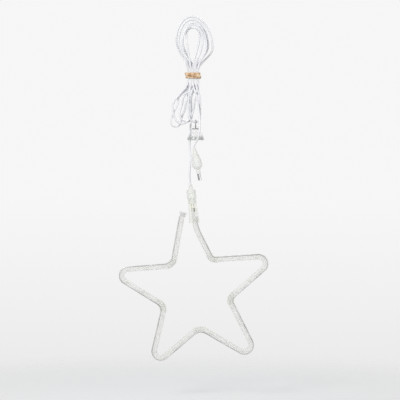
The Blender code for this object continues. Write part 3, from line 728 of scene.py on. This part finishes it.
# %% Outline
connector_down = Vector((math.sin(CONNECTOR_LEAN), -math.cos(CONNECTOR_LEAN)))
connector_exit = Vector((CONNECTOR_EXIT.x, CONNECTOR_EXIT.z))
star_middle = Vector((STAR_CENTRE.x, STAR_CENTRE.z))
tube_end = connector_exit + connector_down * TUBE_END_DEPTH - star_middle
wire_end = tube_end - left_of(-connector_down) * WIRE_TO_TUBE
right_leg_up = Vector((-math.sin(RIGHT_LEG_LEAN), math.cos(RIGHT_LEG_LEAN)))
corners = [Vector((x, z)) * MM for _, x, z, _ in STAR_CORNERS]
radii = [radius * MM for _, _, _, radius in STAR_CORNERS]
corners += [meeting_point(corners[-1], right_leg_up, wire_end, connector_down), wire_end]
radii += [RIGHT_LEG_BEND * MM, 0.0]
outline = rounded_route(corners, radii)
print("outline points:", len(outline))


# %% Lines beside the outline
def moved_in(route, inward):
    """The outline moved towards the star's inside, in the model's own coordinates."""
    flat = [point + left_of(direction) * inward for point, direction in route]
    return [STAR_CENTRE + Vector((point.x, 0.0, point.y)) for point in flat]


def trimmed(points, start, end):
    """Shorten the first and last straight run; a negative value lengthens it."""
    points = [point.copy() for point in points]
    points[0] += (points[1] - points[0]).normalized() * start
    points[-1] += (points[-2] - points[-1]).normalized() * end
    return points


tube_line = moved_in(outline, WIRE_TO_TUBE)
print("tube length (mm):", round(route_length(tube_line) / MM, 1))

# %% Tube, wire and leads
TUBE_SIDES = 32
CAP_OVERLAP = 6.0 * MM
LINE_SPACING = 2.5 * MM
WIRE_SHORT_OF_CAP = 0.5 * MM
WIRE_SHORT_OF_TUBE_END = 8.0 * MM
LEAD_OFFSET = 1.95 * MM
LEAD_RADIUS = 0.28 * MM
LEAD_START = 6.0 * MM
LEAD_BEYOND_TUBE = 3.0 * MM

tube_mesh = swept_mesh(
    "clear_tube",
    evenly(tube_line, LINE_SPACING),
    round_section(TUBE_RADIUS, TUBE_SIDES),
    lining=round_section(TUBE_RADIUS - TUBE_WALL, TUBE_SIDES),
)
stands_for(mesh_piece("clear_tube", tube_mesh, clear_pvc), FIXED, "clear_pvc", "star_tube")

wire_line = trimmed(moved_in(outline, 0.0), CAP_OVERLAP + WIRE_SHORT_OF_CAP, WIRE_SHORT_OF_TUBE_END)
wire_section = round_section(WIRE_RADIUS, sides=16)
wire_mesh = swept_mesh("star_wire", evenly(wire_line, LINE_SPACING), wire_section)
stands_for(mesh_piece("star_wire", wire_mesh, bright_wire), FIXED, "galvanised_wire", "shaping_wire")

for number, side in ((1, 1.0), (2, -1.0)):
    line = moved_in(outline, WIRE_TO_TUBE + side * LEAD_OFFSET)
    line = evenly(trimmed(line, LEAD_START, -LEAD_BEYOND_TUBE), LINE_SPACING)
    lead_mesh = swept_mesh(f"lead_{number}", line, round_section(LEAD_RADIUS, sides=10))
    lead = mesh_piece(f"lead_{number}", lead_mesh, tinned)
    stands_for(lead, FIXED, "tinned_copper", f"conductor_{number}")
print("tube, wire and leads made")

# %% [markdown]
# ## Lamps
#
# Every 28 mm a small lamp sits between the two leads. Each one is a clear moulded body with a
# round nose and a flange, and two legs that spread from inside the body out to the leads. Plain
# spheres would do from afar, but close up the real form shows through the tube. All lamps share
# one mesh, and all legs are splines of one curve, so thirty of them cost little.

# %% Sizes of a lamp
LAMP_COUNT = 30
FIRST_LAMP = 14.0 * MM
LAST_LAMP_FROM_END = 12.0 * MM
LAMP_PROFILE = (
    (0.0, -2.2), (0.55, -2.1), (0.95, -1.6), (1.1, -0.9),  # round nose
    (1.1, 1.3), (1.35, 1.45), (1.35, 2.0), (1.1, 2.2), (0.0, 2.2),  # body and flange
)
# distance from the lamp's axis, and depth, in millimetres
LEG = ((0.3, -0.9), (0.3, 0.4), (0.45, 0.9), (0.45, 2.3), (0.8, 2.9), (1.45, 3.5), (1.6, 4.4))
LEG_RADIUS = 0.16 * MM
print("lamp length (mm):", LAMP_PROFILE[-1][1] - LAMP_PROFILE[0][1])


# %% Lamps
def station(points, distance):
    """Place and direction at a distance along a route."""
    for start, end in zip(points, points[1:]):
        run = (end - start).length
        if distance <= run:
            break
        distance -= run
    return start.lerp(end, distance / run), (end - start).normalized()


lamp_mesh = turned_mesh("lamp", LAMP_PROFILE, Matrix(), steps=20, radius=0.2 * MM)
lamp_mesh.shade_smooth()
lamp_mesh.materials.append(lamp_lens)
leg_curve = round_curve("lamp_legs", LEG_RADIUS, resolution=2, material=tinned)
span = route_length(tube_line) - FIRST_LAMP - LAST_LAMP_FROM_END
for number in range(LAMP_COUNT):
    spot, heading = station(tube_line, FIRST_LAMP + span * number / (LAMP_COUNT - 1))
    place = place_at(spot, math.atan2(heading.x, heading.z))
    lamp = add_object(f"lens_{number + 1:02d}", lamp_mesh)
    lamp.matrix_world = place
    stands_for(lamp, FIXED, "lamp_lens", f"lamp_{number + 1:02d}")
    for side in (-1.0, 1.0):
        bends = [Vector((side * out, 0.0, -depth)) * MM for out, depth in LEG]
        add_spline(leg_curve, [place @ bend for bend in bends])
stands_for(add_object("lamp_legs", leg_curve), FIXED, "tinned_copper")
print("lamps:", LAMP_COUNT, "pitch (mm):", round(span / (LAMP_COUNT - 1) / MM, 2))

# %% [markdown]
# ## Corner sleeves
#
# At each inner corner a short clear sleeve holds the wire against the tube. A straight cylinder
# would cut through the bend, so the sleeve is swept along the outline, like the tube. Its section
# is an oval that clears both, and it is shrunk tighter in the middle than at its mouths.

# %% Corner sleeves
SLEEVE_LENGTH = 13.0 * MM
SLEEVE_STEPS = 24
SLEEVE_OUTSIDE = round_section(5.55 * MM, sides=36, flat=0.80)
SLEEVE_INSIDE = round_section(5.0 * MM, sides=36, flat=0.78)
MOUTH_FLARE = 0.03
FLARE_POWER = 4
CREASE_DEPTH = 0.012
CREASE_HALF_WAVES = 5
middle_of_both = WIRE_TO_TUBE / 2 + (TUBE_RADIUS - WIRE_RADIUS) / 2
sleeve_line = moved_in(outline, middle_of_both)
wire_path = moved_in(outline, 0.0)
run = run_along(wire_path)
inner_corners = [corner for corner, (name, *_) in zip(corners, STAR_CORNERS) if name.endswith("inner")]
for number, corner in enumerate(inner_corners, start=1):
    target = STAR_CENTRE + Vector((corner.x, 0.0, corner.y))
    nearest = min(range(len(wire_path)), key=lambda index: (wire_path[index] - target).length)
    stops = run[nearest] + np.linspace(-0.5, 0.5, SLEEVE_STEPS) * SLEEVE_LENGTH
    flare = MOUTH_FLARE * np.abs(np.linspace(-1.0, 1.0, SLEEVE_STEPS)) ** FLARE_POWER
    creases = CREASE_DEPTH * np.sin(np.linspace(0.0, CREASE_HALF_WAVES * math.pi, SLEEVE_STEPS))
    sleeve_mesh = swept_mesh(
        f"sleeve_{number}",
        places_at(stops, run, sleeve_line),
        SLEEVE_OUTSIDE,
        lining=SLEEVE_INSIDE,
        swell=1.0 + flare + creases,
    )
    sleeve = mesh_piece(f"sleeve_{number}", sleeve_mesh, sleeve_pvc)
    stands_for(sleeve, FIXED, "clear_pvc", f"corner_sleeve_{number}")
print("corner sleeves:", len(inner_corners))

# %% [markdown]
# ## Turned mouldings
#
# The end cap, the connector, the plug and the barrel are all round about their own axis. They
# could be stacked from cylinders and cones, but a turned profile keeps each form in one place and
# has no seams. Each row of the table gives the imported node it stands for, its place, its finish
# and its profile, as radius and depth in millimetres. The strain reliefs get their ring grooves
# from a short formula.

# %% Profiles of the mouldings
CAP_PROFILE = (
    (0.0, -1.9), (5.4, -1.9), (6.4, -1.1), (6.4, 0.4),  # top and flange
    (5.6, 1.6), (5.0, 4.0), (4.7, 6.0),  # skirt over the tube
    (3.8, 6.0), (3.8, -0.3), (0.0, -0.3),  # inside
)
CONNECTOR_PROFILE = (
    (0.0, 8.0), (4.6, 8.0), (6.6, 8.9), (7.7, 11.0),  # shoulder
    (7.7, 14.4), (7.1, 14.9), (7.1, 15.9), (7.7, 16.4),  # groove
    (7.7, 22.2), (7.0, 23.0), (5.9, 23.0),  # lower edge
    (5.9, 30.4), (5.3, 31.0), (0.0, 31.0),  # spigot inside the sleeve
)
SLEEVE_PROFILE = (
    (7.1, 23.3), (7.2, 37.3), (7.9, 47.3), (8.6, 58.0), (8.9, 62.0),  # outside, downwards
    (8.1, 62.0), (7.8, 58.0), (7.1, 47.3), (6.4, 37.3), (6.3, 23.3),  # inside, back up
)
PLUG_PROFILE = (
    (0.0, 9.0), (4.6, 9.0), (5.2, 9.6), (6.4, 14.5), (7.6, 20.0),  # top, widening
    (8.2, 24.0), (8.2, 28.0), (7.6, 30.0), (5.2, 32.2), (3.5, 34.0),  # grip and shoulder
    (3.3, 40.0), (0.0, 40.0),  # neck above the barrel
)
BARREL_PROFILE = ((2.75, 40.3), (2.75, 50.7), (2.6, 51.0), (2.25, 51.0), (2.25, 40.3))
# share of one ring's length, and depth below the taper, in millimetres
RING_GROOVE = ((0.55, 0.0), (0.65, 0.5), (0.9, 0.5), (1.0, 0.0))


def ringed(length, top, bottom, rings):
    """Profile of a tapered strain relief with ring grooves."""
    profile = [(0.0, 0.0), (top, 0.0)]
    for ring in range(rings):
        for share, inset in RING_GROOVE:
            depth = (ring + share) * length / (rings + 1)
            profile.append((top + (bottom - top) * depth / length - inset, depth))
    return (*profile, (bottom, length), (0.0, length))


print("plug length (mm):", PLUG_PROFILE[-1][1] - PLUG_PROFILE[0][1])

# %% Turned mouldings
PLUG_EXIT = Vector((2.2, -21.0, -192.0)) * MM
PLUG_LEAN = math.radians(10.0)

cap_heading = (tube_line[0] - tube_line[1]).normalized()
cap_place = place_at(tube_line[0], math.atan2(cap_heading.x, cap_heading.z))
connector_place = place_at(CONNECTOR_EXIT, -CONNECTOR_LEAN)
plug_place = place_at(PLUG_EXIT, -PLUG_LEAN)
MOULDINGS = (
    ("tube_end_cap", cap_place, cap_pvc, "clear_pvc", CAP_PROFILE),
    ("connector_strain_relief", connector_place, milky_pvc, "milky_pvc", ringed(7.7, 2.7, 3.7, 2)),
    ("connector_body", connector_place, milky_pvc, "milky_pvc", CONNECTOR_PROFILE),
    ("clear_sleeve", connector_place, sleeve_pvc, "clear_pvc", SLEEVE_PROFILE),
    ("plug_strain_relief", plug_place, milky_pvc, "milky_pvc", ringed(8.7, 2.5, 4.3, 2)),
    ("plug_body", plug_place, milky_pvc, "milky_pvc", PLUG_PROFILE),
    ("plug_barrel", plug_place, nickel, "nickel", BARREL_PROFILE),
)
mouldings = {}
for stem, place, material, slot, profile in MOULDINGS:
    piece = mesh_piece(f"{stem}_turned", turned_mesh(stem, profile, place), material)
    stands_for(piece, FIXED, slot, stem)
    mouldings[stem] = piece
print("turned mouldings:", len(mouldings))

# %% [markdown]
# ## Suction cup on its hook
#
# The cup is thin clear PVC with a thick rim, which bends the light most and looks greyest. So its
# see-through finish also covers more in the last few millimetres above the rim. The hook is one
# wire: over the cord, down the back and round the cup's neck. A curve through a few places, with
# the bend and the ring as arcs, bends it as a wire former would.

# %% Suction cup
CUP_PROFILE = (
    (0.0, -4.8), (2.6, -4.7), (4.2, -4.0), (5.0, -2.8), (4.8, -1.7),  # round head
    (3.7, -1.25), (3.7, 1.3), (4.6, 1.9), (6.6, 2.8),  # neck
    (9.2, 5.0), (11.2, 8.2), (12.5, 12.4), (13.3, 16.4), (13.6, 17.7),  # outside
    (13.5, 18.0), (12.7, 18.0), (12.2, 15.8), (11.1, 12.2),  # rim, and up the inside
    (9.6, 9.0), (7.4, 6.6), (4.2, 5.2), (0.0, 4.8),
)
CUP_DEPTH = 18.0 * MM
GREY_RIM = (3.0 * MM, 8.0 * MM)
RIM_COVER = 0.33
RING_DEPTH = 13.0

joints = {joint["name"]: joint for joint in frame["record"]["behaviour"]["joints"]}
swing_axis = Vector(joints["cup_swing"]["pos_m"])
cup_place = swing_axis - Vector((0.0, 0.0, RING_DEPTH)) * MM
rim_height = cup_place.z - CUP_DEPTH

cup_pvc, shader, cover = clear_finish(
    "clear_cup_plastic",
    (0.46, 0.48, 0.47),
    (0.54, 0.55, 0.54),
    roughness=0.2,
    face_cover=0.04,
    edge_cover=0.12,
)
coordinates = node(cup_pvc, "ShaderNodeTexCoord")
separate = node(cup_pvc, "ShaderNodeSeparateXYZ")
rim = node(
    cup_pvc,
    "ShaderNodeMapRange",
    From_Min=rim_height + GREY_RIM[1],
    From_Max=rim_height + GREY_RIM[0],
    To_Max=RIM_COVER,
)
rim.interpolation_type = "SMOOTHSTEP"
total = node(cup_pvc, "ShaderNodeMath")
total.operation = "ADD"
total.use_clamp = True
link = cup_pvc.node_tree.links.new
link(coordinates.outputs["Object"], separate.inputs["Vector"])
link(separate.outputs["Z"], rim.inputs["Value"])
link(cover.outputs["Result"], total.inputs[0])
link(rim.outputs["Result"], total.inputs[1])
link(total.outputs["Value"], shader.inputs["Alpha"])
cup_mesh = turned_mesh("clear_cup", CUP_PROFILE, place_at(cup_place), radius=0.8 * MM)
stands_for(mesh_piece("clear_cup", cup_mesh, cup_pvc), "cup", "clear_pvc", "suction_cup")
print("cup rim height (mm):", round(rim_height / MM, 1))

# %% Wire hook
HOOK_BEND = 3.5
BEND_STEPS = 8
HOOK_WIRE = 0.8
HOOK_SPACING = 0.5 * MM
RING_RADIUS = 4.9
RING_START = 75
RING_TURN = 270
RING_STEPS = 14
HOOK_TIP = ((0.0, -HOOK_BEND - 0.9, -6.6), (0.0, -HOOK_BEND - 0.2, -5.2))
HOOK_BACK = (
    (0.0, HOOK_BEND + 0.3, -5.0),
    (0.0, RING_RADIUS + 0.6, -7.6),
    (0.0, RING_RADIUS + 1.7, -10.2),
    (0.5, RING_RADIUS + 1.8, 0.8 - RING_DEPTH),
    (1.9, RING_RADIUS + 1.4, -RING_DEPTH),
)
# degrees round the neck, and how far outside the ring the wire still is
INTO_RING = ((35, 0.9), (55, 0.35))


def hook_places():
    """From the tip, over the cord, down the back and round the cup's neck."""
    places = list(HOOK_TIP)
    for step in range(BEND_STEPS + 1):
        angle = math.pi * (1.0 - step / BEND_STEPS)
        height = HOOK_WIRE - HOOK_BEND + HOOK_BEND * math.sin(angle)
        places.append((0.0, HOOK_BEND * math.cos(angle), height))
    places += HOOK_BACK
    ring = [(RING_START + RING_TURN * step / RING_STEPS, 0.0) for step in range(RING_STEPS + 1)]
    for degrees, out in (*INTO_RING, *ring):
        angle = math.radians(degrees)
        radius = RING_RADIUS + out
        places.append((radius * math.sin(angle), radius * math.cos(angle), -RING_DEPTH))
    return places


hook_line = [swing_axis + point for point in evenly(smooth_route(hook_places()), HOOK_SPACING)]
hook = curve_piece("cup_wire_hook", hook_line, HOOK_WIRE * MM, dark_wire)
stands_for(hook, "cup_hook", "steel_wire", "suction_cup_hook")
print("hook wire (mm):", round(route_length(hook_line) / MM, 1))

# %% [markdown]
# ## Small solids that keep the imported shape
#
# The contact pins, the seals on the leads, the plug's insulator and its centre contact already
# have the right form. Made again they would look the same, so they only get a better finish.

# %% Better finishes on kept solids
KEPT = (
    ("contact_pin_1", brass),
    ("contact_pin_2", brass),
    ("lead_seal_1", milky_pvc),
    ("lead_seal_2", dark_shrink),
    ("plug_insulator", black_plastic),
    ("plug_centre_contact", brass),
)
for stem, material in KEPT:
    kept = frame["nodes"][stem]
    if not kept.material_slots:
        kept.data.materials.append(material)
    for slot in kept.material_slots:
        slot.material = material
print("solids kept:", len(KEPT))

# %% [markdown]
# ## Rubber band
#
# A wide amber band is wound three times round the waist. Its turns are flat and stretched, climb
# over each other and cover the waist with hardly a gap. Three separate rings would be simpler, but
# one closed way round three times shows how the turns cross. The section has lengthwise creases.

# %% Amber rubber
amber_rubber, shader = start_finish("amber_rubber", (0.67, 0.46, 0.27), roughness=0.3)
vary_colour(amber_rubber, shader, (0.44, 0.24, 0.11), (0.90, 0.69, 0.46), scale=180.0)
add_bump(amber_rubber, shader, scale=400.0, height=0.15 * MM)
shader.inputs["Coat Weight"].default_value = 0.4
shader.inputs["Coat Roughness"].default_value = 0.15
print("amber_rubber ready")

# %% The band's way round the waist
BAND_HALF_THICKNESS = 0.42
BAND_HEIGHT = -74.4
BAND_LEAN = 0.10
BAND_GAP = 0.3
BAND_RISE = 3.3
BAND_SNAP = 0.96
BAND_SWELL = 1.2
BAND_TWIST = 0.10
BAND_TWISTS = 7
BAND_TURNS = 3
BAND_STEPS = 96
OUTER_COLUMN = 2


def waist_outline(clearance, steps=12):
    """A closed way round the strands, with the outward direction at each point."""
    places = []
    for quarter, (x, y) in enumerate(((1, 1), (-1, 1), (-1, -1), (1, -1))):
        for step in range(steps):
            angle = math.pi / 2 * (quarter + step / (steps - 1))
            outward = Vector((math.cos(angle), math.sin(angle), 0.0))
            centre = Vector((x * OUTER_COLUMN * STRAND_PITCH, y * STRAND_ROW, 0.0))
            places.append((centre + outward * clearance, outward))
    return [*places, places[0]]


def band_route():
    """Points of the band's three turns and the direction that its face looks in."""
    clearance = CORD_RADIUS / MM + BAND_GAP + BAND_HALF_THICKNESS + BAND_SWELL
    places, outwards = zip(*waist_outline(clearance))
    run = run_along(places)
    count = BAND_TURNS * BAND_STEPS
    stops = [run[-1] * (index % BAND_STEPS) / BAND_STEPS for index in range(count)]
    points = places_at(stops, run, places)
    facing = places_at(stops, run, outwards)
    for index, (point, outward) in enumerate(zip(points, facing)):
        phase = 2 * math.pi * index / count
        point += outward * BAND_SWELL * math.sin(phase)
        climb = math.asin(BAND_SNAP * math.cos(phase)) / math.asin(BAND_SNAP)
        point.z = BAND_HEIGHT + BAND_RISE * climb - BAND_LEAN * point.x
        outward.z = BAND_TWIST * math.sin(BAND_TWISTS * phase)
    return [point * MM for point in points], facing


band_points, band_facing = band_route()
print("band points:", len(band_points))

# %% Rubber band
BAND_HALF_WIDTH = 2.15
CREASE_SHARE = 0.22
CREASE_COUNT = 8


def creased_section(sides=40):
    section = []
    for step in range(sides):
        angle = 2 * math.pi * step / sides
        crease = 1.0 - CREASE_SHARE * math.cos(CREASE_COUNT * angle)
        thickness = BAND_HALF_THICKNESS * math.sin(angle) * crease
        section.append((thickness * MM, BAND_HALF_WIDTH * math.cos(angle) * MM))
    return section


band_mesh = swept_mesh("amber_band", band_points, creased_section(), closed=True, facing=band_facing)
band = mesh_piece("amber_band", band_mesh, amber_rubber)
stands_for(band, FIXED, "amber_rubber", "rubber_band")
print("band width (mm):", 2 * BAND_HALF_WIDTH)

on_the_cord = [piece for stem, piece in mouldings.items() if stem.startswith("plug_")]
on_the_cord += [frame["nodes"]["plug_insulator"], frame["nodes"]["plug_centre_contact"], band]
print("cord declared with", len(on_the_cord), "pieces on it")

# %% [markdown]
# ## Backdrop, floor and light
#
# The photograph's background is almost white and turns a little grey towards the bottom. The
# world gives that by the direction of sight, only to rays that look at it or are mirrored or
# passed on by clear plastic; what falls on the object is a plain soft light. The floor is a pale
# disc that fades out at its edge, so it keeps the shadow and has no visible rim.

# %% World
LOWEST_SIGHT = -0.14
SOFT_COLOUR = (0.95, 0.97, 1.0, 1.0)
SOFT_STRENGTH = 0.36
# how high the line of sight is, as a share, and the grey level there
BACKDROP = ((0.0, 0.74), (0.23, 0.83), (0.54, 0.875), (0.85, 0.91), (1.0, 0.925))

world = bpy.data.worlds.new("studio")
world.use_nodes = True
bpy.context.scene.world = world
tree = world.node_tree
tree.nodes.clear()
add = tree.nodes.new
link = tree.links.new
coordinates = add("ShaderNodeTexCoord")
separate = add("ShaderNodeSeparateXYZ")
slope = add("ShaderNodeMapRange")
slope.inputs["From Min"].default_value = LOWEST_SIGHT
slope.inputs["From Max"].default_value = 0.0
ramp = add("ShaderNodeValToRGB")
while len(ramp.color_ramp.elements) < len(BACKDROP):
    ramp.color_ramp.elements.new(0.5)
for element, (position, level) in zip(ramp.color_ramp.elements, BACKDROP):
    element.position = position
    element.color = (level, level, level, 1.0)
seen = add("ShaderNodeBackground")
soft = add("ShaderNodeBackground")
soft.inputs["Color"].default_value = SOFT_COLOUR
soft.inputs["Strength"].default_value = SOFT_STRENGTH
path = add("ShaderNodeLightPath")
either = add("ShaderNodeMath")
either.operation = "MAXIMUM"
any_of = add("ShaderNodeMath")
any_of.operation = "MAXIMUM"
mix = add("ShaderNodeMixShader")
output = add("ShaderNodeOutputWorld")
link(coordinates.outputs["Generated"], separate.inputs["Vector"])
link(separate.outputs["Z"], slope.inputs["Value"])
link(slope.outputs["Result"], ramp.inputs["Fac"])
link(ramp.outputs["Color"], seen.inputs["Color"])
link(path.outputs["Is Camera Ray"], either.inputs[0])
link(path.outputs["Is Glossy Ray"], either.inputs[1])
link(either.outputs["Value"], any_of.inputs[0])
link(path.outputs["Is Transmission Ray"], any_of.inputs[1])
link(any_of.outputs["Value"], mix.inputs["Fac"])
link(soft.outputs["Background"], mix.inputs[1])
link(seen.outputs["Background"], mix.inputs[2])
link(mix.outputs["Shader"], output.inputs["Surface"])
bpy.context.scene.view_settings.view_transform = "Standard"
print("world ready")


# %% Lights
def soft_light(name, location, size, power):
    data = bpy.data.lights.new(name, "AREA")
    data.size = size
    data.energy = power
    light = add_object(name, data)
    light.location = location
    aim = VIEW_CENTRE - Vector(location)
    light.rotation_euler = aim.to_track_quat("-Z", "Y").to_euler()


soft_light("key", (-1.1, -1.6, 0.9), size=0.8, power=32.0)
soft_light("fill", (1.3, -1.5, 0.1), size=1.2, power=12.0)
soft_light("back", (0.4, 1.5, 0.9), size=1.0, power=12.0)
print("lights ready")

# %% Floor
FLOOR_DROP = 0.06
FLOOR_RADIUS = 0.75
FADE_START = 0.15

floor_finish, shader = start_finish("pale_floor", (0.84, 0.84, 0.84), roughness=0.9)
reach = node(floor_finish, "ShaderNodeTexCoord")
distance = node(floor_finish, "ShaderNodeVectorMath")
distance.operation = "LENGTH"
fade = node(
    floor_finish,
    "ShaderNodeMapRange",
    From_Min=FADE_START,
    From_Max=FLOOR_RADIUS,
    To_Min=1.0,
    To_Max=0.0,
)
fade.interpolation_type = "SMOOTHSTEP"
link = floor_finish.node_tree.links.new
link(reach.outputs["Object"], distance.inputs[0])
link(distance.outputs["Value"], fade.inputs["Value"])
link(fade.outputs["Result"], shader.inputs["Alpha"])
bpy.ops.mesh.primitive_circle_add(
    vertices=64, radius=FLOOR_RADIUS, fill_type="NGON", location=(0.0, 0.0, cad_low.z - FLOOR_DROP)
)
floor = bpy.context.active_object
floor.name = "floor"
floor.data.materials.append(floor_finish)
print("floor height (mm):", round(floor.location.z / MM, 1))
